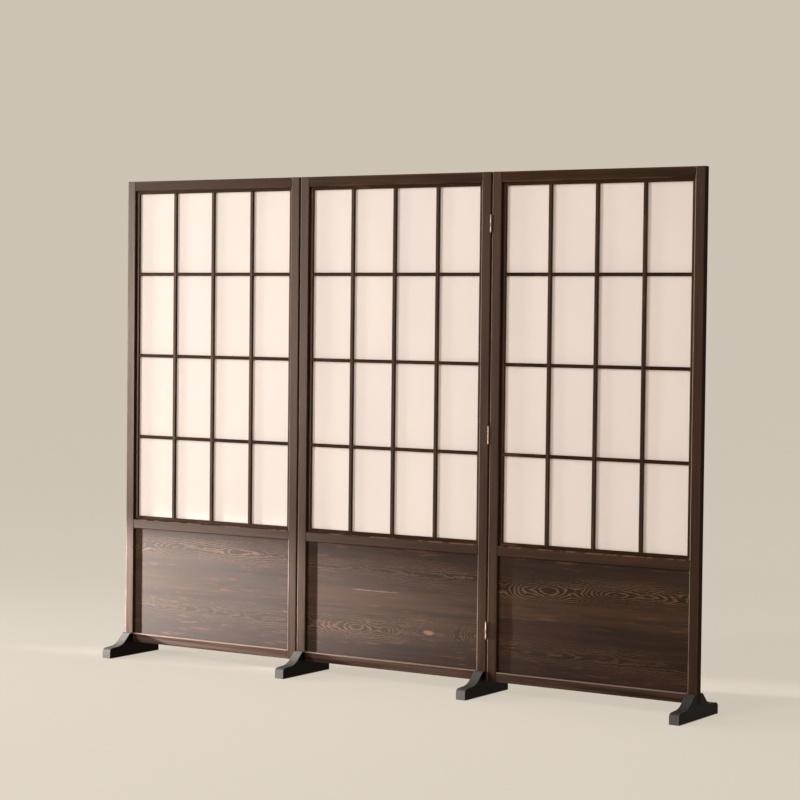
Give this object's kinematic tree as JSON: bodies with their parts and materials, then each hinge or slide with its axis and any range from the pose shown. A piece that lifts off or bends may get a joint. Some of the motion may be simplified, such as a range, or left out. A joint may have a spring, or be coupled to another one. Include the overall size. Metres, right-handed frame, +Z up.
{
  "type": "lattice partition screen",
  "caption": "Free-standing folding partition screen: hinged dark wood panels with a paper-backed lattice over a solid board, on ogee sled feet.",
  "frame": {"origin": "on the floor, in the middle of the row of panels, at mid-depth of the feet", "axes": "+X along the row to the right seen from the front, -Y to the front, +Z up"},
  "size_m": [2.408, 0.29, 1.8],
  "materials": {
    "frame_wood": "dark stained, satin",
    "board_wood": "dark stained, satin",
    "lattice_wood": "dark stained",
    "foot_wood": "black stained, satin",
    "paper": "matt, translucent",
    "hinge_metal": "satin"
  },
  "bodies": {
    "centre": {"centre_board": "board_wood", "centre_border_bottom": "lattice_wood", "centre_border_left": "lattice_wood", "centre_border_right": "lattice_wood", "centre_border_top": "lattice_wood", "centre_bottom_rail": "frame_wood", "centre_crossbar_1": "lattice_wood", "centre_crossbar_2": "lattice_wood", "centre_crossbar_3": "lattice_wood", "centre_left_foot": "foot_wood", "centre_left_hinge_leaves": "hinge_metal", "centre_left_stile": "frame_wood", "centre_middle_rail": "frame_wood", "centre_paper": "paper", "centre_right_foot": "foot_wood", "centre_right_hinge_leaves": "hinge_metal", "centre_right_stile": "frame_wood", "centre_top_rail": "frame_wood", "centre_upright_1": "lattice_wood", "centre_upright_2": "lattice_wood", "centre_upright_3": "lattice_wood", "hinge_pins": "hinge_metal"},
    "left": {"left_board": "board_wood", "left_border_bottom": "lattice_wood", "left_border_left": "lattice_wood", "left_border_right": "lattice_wood", "left_border_top": "lattice_wood", "left_bottom_rail": "frame_wood", "left_crossbar_1": "lattice_wood", "left_crossbar_2": "lattice_wood", "left_crossbar_3": "lattice_wood", "left_foot": "foot_wood", "left_hinge_leaves": "hinge_metal", "left_hinge_stile": "frame_wood", "left_middle_rail": "frame_wood", "left_outer_stile": "frame_wood", "left_paper": "paper", "left_top_rail": "frame_wood", "left_upright_1": "lattice_wood", "left_upright_2": "lattice_wood", "left_upright_3": "lattice_wood"},
    "right": {"right_board": "board_wood", "right_border_bottom": "lattice_wood", "right_border_left": "lattice_wood", "right_border_right": "lattice_wood", "right_border_top": "lattice_wood", "right_bottom_rail": "frame_wood", "right_crossbar_1": "lattice_wood", "right_crossbar_2": "lattice_wood", "right_crossbar_3": "lattice_wood", "right_foot": "foot_wood", "right_hinge_leaves": "hinge_metal", "right_hinge_stile": "frame_wood", "right_middle_rail": "frame_wood", "right_outer_stile": "frame_wood", "right_paper": "paper", "right_top_rail": "frame_wood", "right_upright_1": "lattice_wood", "right_upright_2": "lattice_wood", "right_upright_3": "lattice_wood"}
  },
  "joints": [
    {"name": "right_fold", "type": "hinge", "parent": "centre", "child": "right", "pos_m": [0.402, -0.0155, 0], "axis": [0, 0, -1], "range_deg": [0, 90]},
    {"name": "left_fold", "type": "hinge", "parent": "centre", "child": "left", "pos_m": [-0.402, 0.0155, 0], "axis": [0, 0, -1], "range_deg": [0, 90]}
  ]
}
